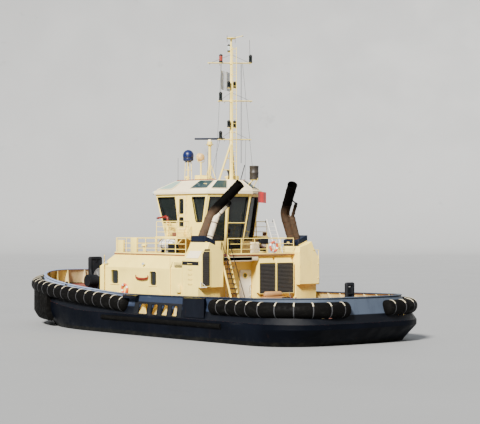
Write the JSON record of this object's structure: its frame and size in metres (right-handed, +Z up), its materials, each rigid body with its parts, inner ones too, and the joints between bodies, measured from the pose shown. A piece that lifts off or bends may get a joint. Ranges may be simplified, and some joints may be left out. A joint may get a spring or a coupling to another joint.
{
  "type": "azimuth stern drive tugboat",
  "caption": "Harbour tugboat with fendered hull, deckhouse, twin funnels, wheelhouse, mast, deck winch and steerable ducted propellers",
  "frame": {"origin": "on the centreline amidships at the waterline", "axes": "+X forward to the bow, +Y to port, +Z up"},
  "size_m": [32.4055, 12.6714, 24.9689],
  "materials": {
    "hull_paint": "semi-gloss navy hull paint over red-brown antifouling",
    "rubber_black": "weathered black rubber",
    "cream_paint": "semi-gloss cream paint with rust runs",
    "blue_paint": "dark blue paint",
    "deck_paint": "red-brown non-slip deck paint",
    "white_paint": "white paint",
    "tinted_glass": "green-grey tinted window glass",
    "duct_metal": "heat-browned duct, black at the mouth",
    "black_paint": "black deck gear paint",
    "grey_metal": "grey painted steel drum",
    "interior_plastic": "dark console plastic",
    "seat_leather": "dark helm chair upholstery",
    "red_paint": "red paint",
    "raft_shell": "white moulded canister",
    "dome_plastic": "blue moulded dome",
    "drum_paint": "brown and cream banded paint",
    "flag_cloth": "pale woven flag cloth",
    "ensign_cloth": "red woven flag cloth",
    "underwater_red": "red-brown antifouling paint",
    "bronze": "nickel-aluminium bronze"
  },
  "bodies": {
    "root": {"hull": "hull_paint", "hull_bottom": "underwater_red", "bulwark": "hull_paint", "bow_fender": "rubber_black", "bow_block_fender": "rubber_black", "side_fender_port": "rubber_black", "side_fender_starboard": "rubber_black", "rubbing_strake_port": "rubber_black", "rubbing_strake_starboard": "rubber_black", "deckhouse": "cream_paint", "bridge_deck": "deck_paint", "casing_port": "cream_paint", "casing_starboard": "cream_paint", "casing_cap_port": "blue_paint", "casing_cap_starboard": "blue_paint", "exhaust_port": "duct_metal", "exhaust_starboard": "duct_metal", "air_intakes": "cream_paint", "stair": "cream_paint", "wheelhouse": "cream_paint", "wheelhouse_glass_fore": "tinted_glass", "wheelhouse_glass_aft": "tinted_glass", "wheelhouse_roof": "cream_paint", "helm_console": "interior_plastic", "helm_chair": "seat_leather", "wing_platform_port": "cream_paint", "wing_platform_starboard": "cream_paint", "monitor_stand_port": "cream_paint", "monitor_stand_starboard": "cream_paint", "life_raft_port": "raft_shell", "life_raft_starboard": "raft_shell", "bridge_rail_fore": "cream_paint", "bridge_rail_port": "cream_paint", "bridge_rail_starboard": "cream_paint", "bridge_rail_aft": "cream_paint", "mast": "cream_paint", "radar_post": "cream_paint", "satellite_dome": "dome_plastic", "searchlight": "cream_paint", "signal_drum": "drum_paint", "ensign_staff": "cream_paint", "ensign": "ensign_cloth", "house_flag": "flag_cloth", "fore_staple": "black_paint", "aft_staple": "black_paint", "fore_winch_frame": "black_paint", "towing_hook_stand": "black_paint", "deck_locker_port": "black_paint"},
    "deckhouse_door_leaf": {"deckhouse_door": "white_paint"},
    "wheelhouse_door_leaf_port": {"wheelhouse_door_port": "cream_paint"},
    "wheelhouse_door_leaf_starboard": {"wheelhouse_door_starboard": "cream_paint"},
    "scanner": {"radar_scanner": "blue_paint"},
    "monitor_port": {"fire_monitor_port": "red_paint"},
    "monitor_starboard": {"fire_monitor_starboard": "red_paint"},
    "winch_drum": {"fore_winch_drum": "grey_metal"},
    "thruster_unit_port": {"thruster_port": "underwater_red"},
    "thruster_unit_starboard": {"thruster_starboard": "underwater_red"},
    "screw_port": {"propeller_port": "bronze"},
    "screw_starboard": {"propeller_starboard": "bronze"}
  },
  "joints": [
    {"name": "deckhouse_door_hinge", "type": "hinge", "parent": "root", "child": "deckhouse_door_leaf", "pos_m": [-5.09, 0.865, 2.5], "axis": [0, 0, -1], "range_deg": [0, 110]},
    {"name": "wheelhouse_door_hinge_port", "type": "hinge", "parent": "root", "child": "wheelhouse_door_leaf_port", "pos_m": [-1.705, 2.49, 7.5], "axis": [0, 0, 1], "range_deg": [0, 100]},
    {"name": "wheelhouse_door_hinge_starboard", "type": "hinge", "parent": "root", "child": "wheelhouse_door_leaf_starboard", "pos_m": [-1.705, -2.49, 7.5], "axis": [0, 0, -1], "range_deg": [0, 100]},
    {"name": "radar_turn", "type": "hinge", "parent": "root", "child": "scanner", "pos_m": [-0.95, 0, 12.5], "axis": [0, 0, 1], "continuous": true},
    {"name": "monitor_turn_port", "type": "hinge", "parent": "root", "child": "monitor_port", "pos_m": [-0.9, 3.35, 7.05], "axis": [0, 0, 1], "range_deg": [-25, 120]},
    {"name": "monitor_turn_starboard", "type": "hinge", "parent": "root", "child": "monitor_starboard", "pos_m": [-0.9, -3.35, 7.05], "axis": [0, 0, -1], "range_deg": [-25, 120]},
    {"name": "fore_winch_turn", "type": "hinge", "parent": "root", "child": "winch_drum", "pos_m": [10.2, 0, 3.02], "axis": [0, 1, 0], "continuous": true},
    {"name": "thruster_steer_port", "type": "hinge", "parent": "root", "child": "thruster_unit_port", "pos_m": [-11.6, 2.6, -3], "axis": [0, 0, 1], "continuous": true},
    {"name": "thruster_steer_starboard", "type": "hinge", "parent": "root", "child": "thruster_unit_starboard", "pos_m": [-11.6, -2.6, -3], "axis": [0, 0, 1], "continuous": true},
    {"name": "propeller_spin_port", "type": "hinge", "parent": "thruster_unit_port", "child": "screw_port", "pos_m": [-12.5, 2.6, -4.3], "axis": [1, 0, 0], "continuous": true},
    {"name": "propeller_spin_starboard", "type": "hinge", "parent": "thruster_unit_starboard", "child": "screw_starboard", "pos_m": [-12.5, -2.6, -4.3], "axis": [1, 0, 0], "continuous": true}
  ]
}
